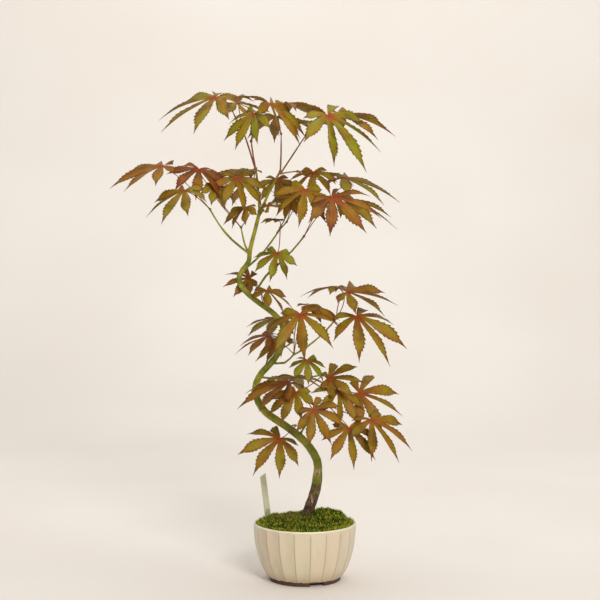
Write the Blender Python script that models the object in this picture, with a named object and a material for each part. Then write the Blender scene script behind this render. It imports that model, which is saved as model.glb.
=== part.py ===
"""A young Japanese maple grown as a literati bonsai, in a round fluted stoneware pot.

The tree, its leaves, the moss, the soil, the plant label and the pot with its drain screen are
separate solids. Lengths are in millimetres until a mesh is made, and every place is measured
from the pot's axis at table level: +X to the right, +Y away from the viewer, +Z up.
"""
import math

import bmesh
import bpy
from mathutils import Vector

MM = 0.001
GAP = 0.3  # clearance between pieces that touch
POT_AXIS = (48, 0)  # pot axis, from the middle of the tree's spread

# Pot
POT_HEIGHT = 63
RIM_RADIUS = 56
BOWL_CURVE = (2.15, 0.8)  # powers of the bowl's curve: over its height, and towards its foot
FLUTES = 20
STEPS_PER_FLUTE = 3
FIRST_FLUTE = math.radians(6)
FLUTE_DEPTH = 1.1
LIP_HEIGHT = 5  # plain band above the flutes
FLUTE_FADE = 4
WALL = 4.5
UNDERSIDE = 5.5  # height of the floor's lower face
FLOOR_TOP = 11
FLOOR_RADIUS = 36
FOOT_RADIUS = 39
FOOT_HEIGHT = 4.5
FOOT_WIDTH = 6
FOOT_STEP = 1.2  # the body stands this far out over its foot
FEET = 3
NOTCH_WIDTH = 16
NOTCH_HEIGHT = 3.5
FIRST_NOTCH = math.radians(-71)
DRAIN_RADIUS = 7

# Drain screen and the wire that pins it
SCREEN_CELLS = 4
SCREEN_PITCH = 5
SCREEN_BAR = 1.4
SCREEN_THICKNESS = 1
SCREEN_ROOM = (16.7, 3.2)  # radius and height of the hollow that the soil leaves over it
WIRE_RADIUS = 0.5
WIRE_LEG = 11
WIRE_BEND = 1.2

# Soil and moss
SOIL_EDGE = 54  # height of the soil's rim
SOIL_RISE = 5
MOSS_EDGE = 60.5
MOSS_RISE = 8
MOSS_RADIUS = 49.5
BED_SIDES = 24
BED_RINGS = 5
BED_CLEARANCE = 1.1  # from the pot's wall, whose sides are finer
SWELL = (26, 16, 7.5, 500)  # place, height and spread of the moss's hump
DIP = (-22, -4, 1.2, 260)

# Plant label
LABEL_WIDTH = 7
LABEL_LENGTH = 82
LABEL_THICKNESS = 0.8
LABEL_POINT = 9  # length of the pointed end
LABEL_SLANT = 3.4  # the top end is cut askew
LABEL_FOOT = (-37, 24, 32)
LABEL_LEAN = math.radians(-7.5)
LABEL_TURN = math.radians(20)

# Leaves: angle, length and width of each lobe, as shares of the middle lobe
LOBES = ((-121, 0.40, 0.75), (-77, 0.72, 0.9), (-38, 0.93, 1), (0, 1, 1), (38, 0.93, 1),
         (77, 0.72, 0.9), (121, 0.40, 0.75))
LOBE_HALF_WIDTH = 2.2
LOBE_WIDENING = 0.075  # more half width for each millimetre of reach
LOBE_DROOP = 0.2
LOBE_SECTIONS = ((0.42, 1), (0.74, 0.62))  # distance from the hub, share of the width
SINUS_RADIUS = 0.1
RIB_DEPTH = 0.8
HUB_ABOVE = 0.45
HUB_BELOW = 0.9
HUB_BACK = 1.2
STALK_RADIUS = 0.6
STALK_BOW = (0.3, 0.25)  # back and down from the hub, as shares of the stalk's length
STALK_START = 3  # clear of the branch joint
STALK_SECTIONS = 3

# Trunk: centre line and radius
TRUNK = (((1, 0, 46), 8.2), ((1, 0, 56), 7.6), ((2, 0, 66), 6.8), ((4, 0, 77), 6.1),
         ((8, 0, 88), 5.7), ((12, -1, 101), 5.9), ((14, -2, 117), 4.9), ((13, -2, 132), 4.6),
         ((5, 0, 146), 4.4), ((-6, 3, 157), 4.3), ((-18, 6, 166), 4.3), ((-32, 9, 175), 4.2),
         ((-43, 9, 183), 4.1), ((-51, 8, 194), 4.0), ((-54, 6, 206), 3.9), ((-53, 4, 217), 3.8),
         ((-47, 0, 228), 3.7), ((-37, -4, 239), 3.6), ((-28, -8, 252), 3.5), ((-23, -10, 267), 3.4),
         ((-25, -12, 282), 3.3), ((-35, -10, 294), 3.2), ((-49, -6, 304), 3.1), ((-61, -2, 313), 3.0),
         ((-70, 2, 323), 2.9), ((-72, 5, 332), 2.8), ((-67, 5, 341), 2.7), ((-61, 3, 350), 2.6),
         ((-60, 0, 361), 2.4), ((-54, -5, 384), 2.1), ((-49, -6, 404), 1.9))
ROOTS = ((20, 16, 7), (100, 15, 6), (165, 17, 7), (235, 15, 6), (310, 16, 7))  # heading, reach, drop
ROOT_START = (1.5, 0, 60)
ROOT_SHAPE = ((0, 0, 4.2), (0.5, 0.5, 3.2), (0.8, 1, 2.3), (1, 1.6, 1.2))  # out, down, radius

# Branches: centre line, first and last radius; each ends in a leaf joint of its own name
BRANCHES = {
    "crown_left_stem": (((-49, -6, 400), (-50, -7, 420), (-53, -9, 450)), 1.7, 1.3),
    "crown_far_left": (((-53, -9, 447), (-60, -7, 470), (-66, -4, 488)), 1.1, 0.8),
    "crown_left": (((-53, -9, 447), (-56, -10, 464), (-58, -12, 479)), 1.1, 0.8),
    "crown_right_stem": (((-49, -6, 400), (-40, -3, 422), (-27, 2, 447)), 1.7, 1.3),
    "crown_right": (((-27, 2, 444), (-26, 6, 468), (-26, 9, 488)), 1.1, 0.8),
    "crown_far_right": (((-27, 2, 444), (-13, -3, 465), (1, -8, 486)), 1.1, 0.8),
    "upper_spur": (((-50, -6, 398), (-47, -10, 402), (-45, -13, 405)), 1.1, 0.9),
    "upper_far_left": (((-60, 1, 357), (-79, -10, 373), (-92, -17, 389), (-102, -22, 406)), 1.5, 1.0),
    "upper_left": (((-60, 2, 355), (-66, 9, 368), (-70, 14, 386)), 1.3, 0.9),
    "upper_right": (((-67, 5, 340), (-47, 7, 357), (-28, 9, 383), (-20, 12, 392)), 1.4, 0.9),
    "upper_right_spur": (((-31, 9, 380), (-29, 4, 383), (-27, 0, 386)), 1.0, 0.8),
    "upper_right_shoot": (((-28, 2, 444), (-18, 4, 446), (-8, 3, 447)), 1.0, 0.8),
    "upper_far_right": (((-57, -3, 311), (-43, -4, 333), (-28, -3, 347), (-14, -7, 361),
                         (-1, -16, 377)), 1.5, 1.0),
    "middle_left": (((-34, -9, 292), (-38, 2, 295), (-43, 11, 297)), 1.2, 0.9),
    "middle_back": (((-28, -8, 254), (-21, 4, 256), (-14, 14, 260)), 1.2, 0.9),
    "middle": (((-37, -4, 239), (-22, -14, 240), (-12, -20, 250)), 1.5, 1.0),
    "middle_right": (((-13, -19, 249), (0, -16, 256), (20, -12, 272), (34, -10, 288)), 1.2, 0.9),
    "low_left": (((-18, 6, 166), (-13, 0, 170), (-10, -8, 171)), 1.2, 0.9),
    "low_right": (((-6, 4, 158), (2, 0, 172), (14, -8, 185), (24, -12, 194)), 1.5, 1.0),
    "lower_middle": (((-50, 2, 223), (-32, 9, 220), (-14, 6, 221)), 1.4, 0.9),
    "lower_right": (((-16, 7, 221), (2, 4, 222), (20, -4, 226)), 1.2, 0.9),
}

# Leaves: branch, hub, heading (anticlockwise from +X, seen from above), pitch below level,
# bank (the left side dips), reach of the middle lobe
LEAVES = {
    "leaf_crown_01": ("crown_far_left", (-95, -27, 525), -153, 21, 15, 72),
    "leaf_crown_02": ("crown_far_left", (-73, 10, 528), 92, -8, 0, 54),
    "leaf_crown_03": ("crown_far_left", (-74, -8, 520), -25, 17, -12, 36),
    "leaf_crown_04": ("crown_left", (-54, -43, 507), -140, 50, 12, 46),
    "leaf_crown_05": ("crown_left", (-37, -32, 518), -30, 42, 0, 56),
    "leaf_crown_06": ("crown_right", (-22, 12, 521), 5, 5, 0, 56),
    "leaf_crown_07": ("crown_far_right", (6, -10, 500), 60, -10, 0, 42),
    "leaf_crown_08": ("crown_far_right", (24, -44, 505), -28, 44, -20, 74),
    "leaf_crown_09": ("crown_far_right", (36, 6, 510), -5, 10, -15, 67),
    "leaf_crown_10": ("crown_right", (-32, 50, 508), 95, 15, 0, 56),
    "leaf_upper_01": ("upper_far_left", (-152, -30, 452), -177, 10, 15, 60),
    "leaf_upper_02": ("upper_far_left", (-127, -52, 426), -125, 30, 0, 52),
    "leaf_upper_03": ("upper_left", (-114, -14, 449), -90, 32, 12, 50),
    "leaf_upper_04": ("upper_left", (-96, -24, 430), -55, 40, 0, 32),
    "leaf_upper_05": ("crown_left_stem", (-62, 17, 449), 163, 5, 0, 50),
    "leaf_upper_06": ("crown_left_stem", (-73, -16, 440), -72, 50, 0, 46),
    "leaf_upper_07": ("upper_left", (-64, -22, 408), -130, 35, 0, 32),
    "leaf_upper_08": ("upper_spur", (-40, -31, 409), 32, -30, 0, 36),
    "leaf_upper_09": ("upper_right_spur", (-29, -4, 395), 180, 0, 0, 20),
    "leaf_upper_10": ("upper_right_spur", (-14, -10, 421), -130, 60, 0, 30),
    "leaf_upper_11": ("crown_right_stem", (-31, 20, 438), 90, 55, 0, 34),
    "leaf_upper_12": ("upper_far_right", (28, -64, 419), -47, 28, -25, 60),
    "leaf_upper_13": ("upper_right", (0, -40, 427), -100, 42, 15, 50),
    "leaf_upper_14": ("upper_right_shoot", (40, -2, 440), -3, 11, -10, 68),
    "leaf_upper_15": ("upper_right_shoot", (9, -8, 446), -97, 40, 0, 40),
    "leaf_upper_16": ("upper_far_right", (37, -16, 418), -12, 15, -10, 70),
    "leaf_upper_17": ("upper_right_shoot", (14, 30, 446), 20, 5, 0, 46),
    "leaf_upper_18": ("crown_left_stem", (-66, 50, 434), 110, 15, 0, 56),
    "leaf_upper_19": ("upper_right", (-4, 52, 424), 60, 15, 0, 56),
    "leaf_middle_01": ("upper_right_spur", (-30, -24, 359), -110, 46, 15, 36),
    "leaf_middle_02": ("middle_left", (-41, -22, 319), -46, 32, 0, 37),
    "leaf_middle_03": ("middle_left", (-60, 16, 330), -170, 5, 45, 32),
    "leaf_middle_04": ("middle", (-5, -58, 296), -85, 40, -8, 60),
    "leaf_middle_05": ("middle", (5, -24, 303), -30, 20, 0, 40),
    "leaf_middle_06": ("middle_right", (45, -22, 317), 0, 3, -20, 57),
    "leaf_middle_07": ("middle_right", (37, 14, 321), 172, 2, 0, 44),
    "leaf_middle_08": ("middle_right", (55, -34, 292), -43, 35, -10, 68),
    "leaf_middle_09": ("middle", (-38, -22, 270), -170, 15, 10, 42),
    "leaf_middle_10": ("middle_back", (-22, 29, 262), 175, 28, 20, 42),
    "leaf_middle_11": ("middle_back", (-30, 54, 284), 105, 20, 0, 52),
    "leaf_lower_01": ("lower_middle", (-17, -26, 220), -170, 12, 10, 62),
    "leaf_lower_02": ("lower_right", (-10, -46, 212), -125, 40, 5, 42),
    "leaf_lower_03": ("lower_right", (2, -44, 246), -85, 46, 0, 30),
    "leaf_lower_04": ("lower_right", (25, -40, 226), -10, -8, -40, 40),
    "leaf_lower_05": ("lower_right", (36, -38, 213), -93, 42, 25, 46),
    "leaf_lower_06": ("lower_right", (58, -22, 208), 0, 18, -45, 54),
    "leaf_lower_07": ("low_right", (70, -58, 184), -45, 38, -10, 56),
    "leaf_lower_08": ("low_right", (46, -63, 176), -77, 52, 0, 46),
    "leaf_lower_09": ("low_right", (8, -72, 197), -30, 50, -50, 42),
    "leaf_lower_10": ("low_left", (-27, -24, 159), -135, 30, 30, 53),
    "leaf_lower_11": ("lower_middle", (-12, 48, 218), 80, 15, 0, 56),
}


def make_object(name, points, faces, material, cutter=False):
    mesh = bpy.data.meshes.new(name)
    placed = [((x + POT_AXIS[0]) * MM, (y + POT_AXIS[1]) * MM, z * MM) for x, y, z in points]
    mesh.from_pydata(placed, [], faces)
    mesh.validate()
    edit = bmesh.new()
    edit.from_mesh(mesh)
    bmesh.ops.recalc_face_normals(edit, faces=edit.faces)
    edit.to_mesh(mesh)
    edit.free()
    piece = bpy.data.objects.new(name, mesh)
    bpy.context.scene.collection.objects.link(piece)
    if cutter:
        piece.hide_render = True
        piece.display_type = "WIRE"
    else:
        mesh.materials.append(material)
    return piece


def make_material(name, colour, roughness):
    material = bpy.data.materials.new(name)
    material.use_nodes = True
    shader = material.node_tree.nodes["Principled BSDF"]
    shader.inputs["Base Color"].default_value = (*colour, 1)
    shader.inputs["Roughness"].default_value = roughness
    return material


def boolean(piece, other, operation):
    step = piece.modifiers.new(f"{operation.lower()} {other.name}", "BOOLEAN")
    step.operation = operation
    step.solver = "EXACT"
    step.object = other


def loft(rings, closed_ends=True):
    """Points and faces of a skin over rings of equal point count."""
    size = len(rings[0])
    points = [point for ring in rings for point in ring]
    faces = []
    for lower in range(len(rings) - 1):
        for i in range(size):
            j = (i + 1) % size
            faces.append((lower * size + i, lower * size + j,
                          (lower + 1) * size + j, (lower + 1) * size + i))
    if closed_ends:
        faces.append(tuple(range(size)))
        faces.append(tuple(range(len(points) - size, len(points))))
    return points, faces


def circle(radius, z, sides, turn=0.0):
    angles = [turn + 2 * math.pi * i / sides for i in range(sides)]
    return [Vector((radius * math.cos(a), radius * math.sin(a), z)) for a in angles]


def smooth_path(knots, per_span):
    """Catmull-Rom points through (place, radius) knots."""
    knots = [(*place, radius) for place, radius in knots]
    ends = [knots[0], *knots, knots[-1]]
    result = []
    for a, b, c, d in zip(ends, ends[1:], ends[2:], ends[3:]):
        for step in range(per_span):
            t = step / per_span
            result.append([0.5 * (2 * q + (r - p) * t + (2 * p - 5 * q + 4 * r - s) * t * t
                                  + (3 * q - p - 3 * r + s) * t ** 3)
                           for p, q, r, s in zip(a, b, c, d)])
    result.append(knots[-1])
    return [(Vector(point[:3]), point[3]) for point in result]


def tube(path, sides, extra=0.0):
    """Rings square to a path of (place, radius), carried along without twisting."""
    across = (path[1][0] - path[0][0]).orthogonal()
    rings = []
    for index, (place, radius) in enumerate(path):
        ahead = path[min(index + 1, len(path) - 1)][0] - path[max(index - 1, 0)][0]
        ahead.normalize()
        across = (across - ahead * across.dot(ahead)).normalized()
        side = ahead.cross(across)
        ring = []
        for i in range(sides):
            angle = 2 * math.pi * i / sides
            out = across * math.cos(angle) + side * math.sin(angle)
            ring.append(place + out * (radius + extra))
        rings.append(ring)
    return loft(rings)


def pot_radius(z):
    """Outer radius of the pot's body, a bowl that turns in towards its foot."""
    share = (z - FOOT_HEIGHT) / (POT_HEIGHT - FOOT_HEIGHT)
    upper, lower = BOWL_CURVE
    bowl = max(0.0, 1 - (1 - share) ** upper) ** lower
    start = FOOT_RADIUS + FOOT_STEP
    return start + (RIM_RADIUS - start) * bowl


def fluted_ring(z):
    """A ring of the outside wall: flat panels between shallow grooves that fade below the lip."""
    sides = FLUTES * STEPS_PER_FLUTE
    fade = min(1.0, max(0.0, (POT_HEIGHT - LIP_HEIGHT - z) / FLUTE_FADE))
    ring = []
    for i, point in enumerate(circle(1, z, sides, FIRST_FLUTE)):
        depth = FLUTE_DEPTH * fade if i % STEPS_PER_FLUTE == 0 else 0
        radius = pot_radius(z) - depth
        ring.append(Vector((point.x * radius, point.y * radius, z)))
    return ring


def make_pot(material):
    """Foot ring, fluted wall, lip, inside wall and floor as one skin, then its hole and notches."""
    sides = FLUTES * STEPS_PER_FLUTE
    foot = [(FOOT_RADIUS - FOOT_WIDTH, UNDERSIDE), (FOOT_RADIUS - FOOT_WIDTH, 0),
            (FOOT_RADIUS, 0), (FOOT_RADIUS, FOOT_HEIGHT)]
    outer = [FOOT_HEIGHT + 0.01, 8, 14, 22, 32, 44, 54, POT_HEIGHT - LIP_HEIGHT, POT_HEIGHT - 1]
    inner = [(RIM_RADIUS - 1.2, POT_HEIGHT), (RIM_RADIUS - WALL, POT_HEIGHT - 1.5)]
    inner += [(pot_radius(z) - WALL, z) for z in (48, 36, 24, 16)]
    inner += [(FLOOR_RADIUS, FLOOR_TOP)]
    rings = [circle(radius, z, sides, FIRST_FLUTE) for radius, z in foot]
    rings += [fluted_ring(z) for z in outer]
    rings += [circle(radius, z, sides, FIRST_FLUTE) for radius, z in inner]
    pot = make_object("pot", *loft(rings), material)
    hole = [circle(DRAIN_RADIUS, z, 20) for z in (0, FLOOR_TOP + FOOT_HEIGHT)]
    boolean(pot, make_object("drain_cutter", *loft(hole), None, cutter=True), "DIFFERENCE")
    near, far = FOOT_RADIUS - FOOT_WIDTH - 4, FOOT_RADIUS + 4
    for i in range(FEET):
        angle = FIRST_NOTCH + 2 * math.pi * i / FEET
        out = Vector((math.cos(angle), math.sin(angle), 0))
        side = Vector((-out.y, out.x, 0)) * NOTCH_WIDTH / 2
        corners = [out * near - side, out * far - side, out * far + side, out * near + side]
        rings = [[corner + Vector((0, 0, z)) for corner in corners] for z in (-3, NOTCH_HEIGHT)]
        boolean(pot, make_object(f"notch_cutter_{i}", *loft(rings), None, cutter=True), "DIFFERENCE")


def make_screen(material):
    """A square plastic grid that keeps the soil off the drain hole."""
    size = SCREEN_CELLS * SCREEN_PITCH + SCREEN_BAR
    start = -size / 2
    lines = []
    for i in range(SCREEN_CELLS + 1):
        lines += [start + i * SCREEN_PITCH, start + i * SCREEN_PITCH + SCREEN_BAR]
    floor = FLOOR_TOP + GAP
    count = len(lines)
    points = [(x, y, z) for z in (floor, floor + SCREEN_THICKNESS) for y in lines for x in lines]

    def corner(column, row, level):
        return level * count * count + row * count + column

    def solid(column, row):
        inside = 0 <= column < count - 1 and 0 <= row < count - 1
        return inside and (column % 2 == 0 or row % 2 == 0)

    faces = []
    for row in range(count - 1):
        for column in range(count - 1):
            if not solid(column, row):
                continue
            square = ((column, row), (column + 1, row), (column + 1, row + 1), (column, row + 1))
            faces += [tuple(corner(*place, level) for place in square) for level in (0, 1)]
            beyond = ((column, row - 1), (column + 1, row), (column, row + 1), (column - 1, row))
            for i, neighbour in enumerate(beyond):
                if not solid(*neighbour):
                    a, b = square[i], square[(i + 1) % 4]
                    faces.append((corner(*a, 0), corner(*b, 0), corner(*b, 1), corner(*a, 1)))
    make_object("drain_screen", points, faces, material)


def make_wire(material):
    """A wire staple: over the screen, down through the drain hole and out under the floor."""
    top = FLOOR_TOP + GAP + SCREEN_THICKNESS + GAP + WIRE_RADIUS
    under = UNDERSIDE - GAP - WIRE_RADIUS
    half = SCREEN_PITCH / 2
    bend = WIRE_BEND
    leg = [(WIRE_LEG, under), (half + bend, under), (half, under + bend), (half, top - bend),
           (half - bend, top)]
    knots = [(-x, z) for x, z in leg] + leg[::-1]
    path = [(Vector((x, SCREEN_PITCH / 2, z)), WIRE_RADIUS) for x, z in knots]
    make_object("screen_wire", *tube(path, 6), material)


def bed_height(x, y, edge, rise, radius):
    """Surface of the mounded bed, higher behind the trunk's right side."""
    share = min(1.0, math.hypot(x, y) / radius)
    mound = rise * (1 - share ** 2.2)
    swell, dip = (height * math.exp(-((x - at_x) ** 2 + (y - at_y) ** 2) / spread)
                  for at_x, at_y, height, spread in (SWELL, DIP))
    ripple = 0.5 * math.sin(x / 5 + 1) * math.cos(y / 6)
    hump = (swell - dip) * (rise / MOSS_RISE) ** 2
    return edge + mound + (hump + ripple) * (1 - share ** 4)


def bed_rings(edge, rise, radius, lift=0.0):
    rings = []
    for step in range(BED_RINGS, 0, -1):
        ring = circle(radius * step / BED_RINGS, 0, BED_SIDES)
        rings.append([Vector((p.x, p.y, bed_height(p.x, p.y, edge, rise, radius) + lift))
                      for p in ring])
    return rings


def crown_disc(rings, height):
    """Closes a bed's innermost ring with a fan to its middle."""
    points, faces = loft(rings, closed_ends=False)
    size = len(rings[0])
    middle = len(points)
    points.append(Vector((0, 0, height)))
    first = middle - size
    faces += [(first + i, first + (i + 1) % size, middle) for i in range(size)]
    return points, faces


def make_soil(material, pockets):
    """Fills the pot from its floor to a low mound, hollow over the drain screen."""
    room_radius, room_height = SCREEN_ROOM
    floor = FLOOR_TOP + GAP
    walls = [(room_radius, FLOOR_TOP + room_height), (room_radius + 0.2, floor),
             (FLOOR_RADIUS - 2 * GAP, floor)]
    walls += [(pot_radius(z) - WALL - BED_CLEARANCE, z + 0.2) for z in (16, 24, 36, 48)]
    radius = pot_radius(SOIL_EDGE) - WALL - BED_CLEARANCE
    rings = [circle(r, z, BED_SIDES) for r, z in walls] + bed_rings(SOIL_EDGE, SOIL_RISE, radius)
    points, faces = crown_disc(rings, bed_height(0, 0, SOIL_EDGE, SOIL_RISE, radius))
    middle = len(points)
    points.append(Vector((0, 0, FLOOR_TOP + room_height)))
    faces += [((i + 1) % BED_SIDES, i, middle) for i in range(BED_SIDES)]
    soil = make_object("soil", points, faces, material)
    for pocket in pockets:
        boolean(soil, pocket, "DIFFERENCE")


def make_moss(material, pockets):
    soil_radius = pot_radius(SOIL_EDGE) - WALL - BED_CLEARANCE
    under = bed_rings(SOIL_EDGE, SOIL_RISE, soil_radius, lift=GAP)[::-1]
    rings = under + bed_rings(MOSS_EDGE, MOSS_RISE, MOSS_RADIUS)
    points, faces = crown_disc(rings, bed_height(0, 0, MOSS_EDGE, MOSS_RISE, MOSS_RADIUS))
    middle = len(points)
    points.append(Vector((0, 0, bed_height(0, 0, SOIL_EDGE, SOIL_RISE, soil_radius) + GAP)))
    faces += [((i + 1) % BED_SIDES, i, middle) for i in range(BED_SIDES)]
    moss = make_object("moss", points, faces, material)
    for pocket in pockets:
        boolean(moss, pocket, "DIFFERENCE")


def root_path(heading, reach, drop):
    angle = math.radians(heading)
    out = Vector((math.cos(angle), math.sin(angle), 0))
    down = Vector((0, 0, -1))
    return [(Vector(ROOT_START) + out * reach * away + down * drop * low, radius)
            for away, low, radius in ROOT_SHAPE]


def make_trunk(material):
    """Roots, trunk and branches, joined as the one piece that they grew as."""
    trunk = make_object("trunk", *tube(smooth_path(TRUNK, 2), 8), material)
    for number, root in enumerate(ROOTS):
        grown = make_object(f"root_{number}", *tube(root_path(*root), 6), None, cutter=True)
        boolean(trunk, grown, "UNION")
    for name, (places, first, last) in BRANCHES.items():
        shares = [i / (len(places) - 1) for i in range(len(places))]
        knots = [(place, first + (last - first) * share) for place, share in zip(places, shares)]
        grown = make_object(f"branch_{name}", *tube(smooth_path(knots, 2), 5), None, cutter=True)
        boolean(trunk, grown, "UNION")


def trunk_pockets():
    """The room that the soil and the moss leave for the trunk's foot and its roots."""
    room = GAP + 0.1
    foot = make_object("pocket_trunk", *tube(smooth_path(TRUNK[:6], 2), 8, room), None, cutter=True)
    for number, root in enumerate(ROOTS):
        grown = tube(root_path(*root), 6, room)
        boolean(foot, make_object(f"pocket_root_{number}", *grown, None, cutter=True), "UNION")
    return foot


def label_solid(extra):
    """A pointed strip pushed into the soil, leaning back to the left."""
    half = LABEL_WIDTH / 2 + extra
    thick = LABEL_THICKNESS / 2 + extra
    low, high = -extra, LABEL_LENGTH + extra
    outline = [(0, low), (half, LABEL_POINT), (half, high), (-half, high - LABEL_SLANT),
               (-half, LABEL_POINT)]
    wide = Vector((math.cos(LABEL_TURN), math.sin(LABEL_TURN), 0))
    back = Vector((-math.sin(LABEL_TURN), math.cos(LABEL_TURN), 0))
    upright = Vector((0, 0, 1))
    rings = []
    for depth in (-thick, thick):
        ring = []
        for across, up in outline:
            sideways = across * math.cos(LABEL_LEAN) + up * math.sin(LABEL_LEAN)
            height = up * math.cos(LABEL_LEAN) - across * math.sin(LABEL_LEAN)
            ring.append(Vector(LABEL_FOOT) + wide * sideways + back * depth + upright * height)
        rings.append(ring)
    return loft(rings)


def leaf_frame(heading, pitch, bank):
    """Directions of the middle lobe, of the leaf's left side and of its upper face."""
    heading, pitch, bank = (math.radians(value) for value in (heading, pitch, bank))
    ahead = Vector((math.cos(heading) * math.cos(pitch), math.sin(heading) * math.cos(pitch),
                    -math.sin(pitch)))
    level = Vector((-math.sin(heading), math.cos(heading), 0))
    over = ahead.cross(level)
    left = level * math.cos(bank) - over * math.sin(bank)
    return ahead, left, ahead.cross(left)


def leaf_solid(joint, hub, heading, pitch, bank, reach):
    """A blade of drooping lobes round a hub, and the stalk that runs back to the branch."""
    ahead, left, upper = leaf_frame(heading, pitch, bank)
    points = [hub + upper * HUB_ABOVE, hub - upper * HUB_BELOW]
    hub_top, hub_under = 0, 1
    droop = Vector((0, 0, -LOBE_DROOP))
    faces = []

    def around(degrees, distance):
        angle = math.radians(degrees)
        return hub + (ahead * math.cos(angle) + left * math.sin(angle)) * distance

    def add(point):
        points.append(point)
        return len(points) - 1

    edges = [(a[0] + b[0]) / 2 for a, b in zip(LOBES, LOBES[1:])]
    sinuses = [add(hub - ahead * HUB_BACK - left * STALK_RADIUS)]
    sinuses += [add(around(edge, reach * SINUS_RADIUS)) for edge in edges]
    sinuses += [add(hub - ahead * HUB_BACK + left * STALK_RADIUS)]
    for number, (angle, length, width) in enumerate(LOBES):
        out = (around(angle, 1) - hub).normalized()
        run = reach * length / (out + droop).length
        side = upper.cross(out)
        before, after = sinuses[number], sinuses[number + 1]
        faces += [(hub_top, before, after)]
        last = None
        for share, breadth in LOBE_SECTIONS:
            middle = hub + (out * share + droop * share ** 2) * run
            half = side * (LOBE_HALF_WIDTH + LOBE_WIDENING * reach) * width * breadth
            rib_place = middle - upper * RIB_DEPTH * breadth
            section = add(middle - half), add(middle + half), add(rib_place)
            right_edge, left_edge, rib = section
            if last is None:
                faces += [(before, right_edge, left_edge, after), (hub_under, rib, before),
                          (hub_under, after, rib), (before, rib, right_edge), (after, left_edge, rib)]
            else:
                faces += [(last[0], right_edge, left_edge, last[1]), (last[0], last[2], rib, right_edge),
                          (last[2], last[1], left_edge, rib)]
            last = section
        tip = add(hub + (out + droop) * run)
        faces += [(last[0], tip, last[1]), (last[0], last[2], tip), (last[2], last[1], tip)]

    distance = (joint - hub).length
    back, down = STALK_BOW
    bend = hub - ahead * distance * back - upper * distance * down
    start = joint + (bend - joint).normalized() * STALK_START
    ring = (hub_top, sinuses[0], hub_under, sinuses[-1])
    for step in range(1, STALK_SECTIONS + 1):
        t = step / STALK_SECTIONS
        place = hub * (1 - t) ** 2 + bend * 2 * t * (1 - t) + start * t * t
        along = ((bend - hub) * (1 - t) + (start - bend) * t).normalized()
        side = (left - along * left.dot(along)).normalized()
        over = side.cross(along)
        across = [over, -side, -over, side]
        new = tuple(add(place + way * STALK_RADIUS) for way in across)
        for i in range(4):
            j = (i + 1) % 4
            faces.append((ring[i], ring[j], new[j], new[i]))
        ring = new
    faces.append(ring)
    return points, faces


def main():
    for existing in list(bpy.data.objects):
        bpy.data.objects.remove(existing, do_unlink=True)
    glaze = make_material("cream_glaze", (0.66, 0.54, 0.37), 0.3)
    bark = make_material("bark", (0.26, 0.19, 0.07), 0.75)
    green = make_material("leaf_green", (0.3, 0.2, 0.03), 0.5)
    moss = make_material("moss", (0.1, 0.14, 0.01), 0.95)
    soil = make_material("soil", (0.12, 0.07, 0.04), 0.95)
    plastic = make_material("label_plastic", (0.46, 0.45, 0.31), 0.45)
    black = make_material("screen_plastic", (0.03, 0.03, 0.03), 0.5)
    aluminium = make_material("wire_aluminium", (0.6, 0.58, 0.55), 0.4)
    make_pot(glaze)
    make_screen(black)
    make_wire(aluminium)
    make_trunk(bark)
    trunk_pocket = trunk_pockets()
    label_pocket = make_object("pocket_label", *label_solid(GAP), None, cutter=True)
    make_soil(soil, (trunk_pocket, label_pocket))
    make_moss(moss, (trunk_pocket, label_pocket))
    make_object("plant_label", *label_solid(0), plastic)
    for name, (branch, hub, *posture) in LEAVES.items():
        joint = Vector(BRANCHES[branch][0][-1])
        make_object(name, *leaf_solid(joint, Vector(hub), *posture), green)


main()
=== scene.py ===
# A young maple grown as a slim bonsai, in a round fluted pot with moss and a blank plant label.
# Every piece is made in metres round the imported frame, and takes its place from it.
import math
import random

import bmesh
import bpy
import numpy as np
from mathutils import Matrix, Vector, bvhtree, noise


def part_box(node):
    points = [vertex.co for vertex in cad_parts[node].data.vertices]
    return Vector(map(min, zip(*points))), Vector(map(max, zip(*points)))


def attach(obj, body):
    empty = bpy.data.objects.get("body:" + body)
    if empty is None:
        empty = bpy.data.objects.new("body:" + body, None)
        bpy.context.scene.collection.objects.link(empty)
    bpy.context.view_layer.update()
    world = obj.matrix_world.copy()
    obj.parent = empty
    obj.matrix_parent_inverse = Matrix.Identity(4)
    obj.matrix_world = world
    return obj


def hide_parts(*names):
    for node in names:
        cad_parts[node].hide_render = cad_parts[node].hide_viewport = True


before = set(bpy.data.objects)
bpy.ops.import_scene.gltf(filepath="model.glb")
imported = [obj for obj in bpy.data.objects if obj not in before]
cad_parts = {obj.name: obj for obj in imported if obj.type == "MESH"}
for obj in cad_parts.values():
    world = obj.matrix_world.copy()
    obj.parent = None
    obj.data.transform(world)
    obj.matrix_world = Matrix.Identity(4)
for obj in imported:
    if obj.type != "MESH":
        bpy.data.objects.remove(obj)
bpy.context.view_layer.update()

mm = 0.001
weld = 0.00002  # points nearer than this are one
grainRoughness = 0.55
chance = random.Random(11)
potLow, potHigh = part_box("pot")
potAxis = Vector(((potLow.x + potHigh.x) / 2, (potLow.y + potHigh.y) / 2, 0))
leafNodes = sorted(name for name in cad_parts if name.startswith("leaf_"))


# ---- camera first, so that every stage can be looked at

view = {"place": (0.0425, -1.7495, 0.4158), "down": 3.55, "lens": 96.6}


def setCamera():
    lens = bpy.data.cameras.new("studioCamera")
    lens.lens = view["lens"]
    camera = bpy.data.objects.new("studioCamera", lens)
    camera.location = view["place"]
    camera.rotation_euler = (math.radians(90 - view["down"]), 0, 0)
    bpy.context.scene.collection.objects.link(camera)
    bpy.context.scene.camera = camera


# ---- small tools

def paint(red, green, blue):
    # a colour chip's values, 0 to 255, as the linear colour that a shader takes
    return tuple(((part / 255 + 0.055) / 1.055) ** 2.4 for part in (red, green, blue)) + (1,)


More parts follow.
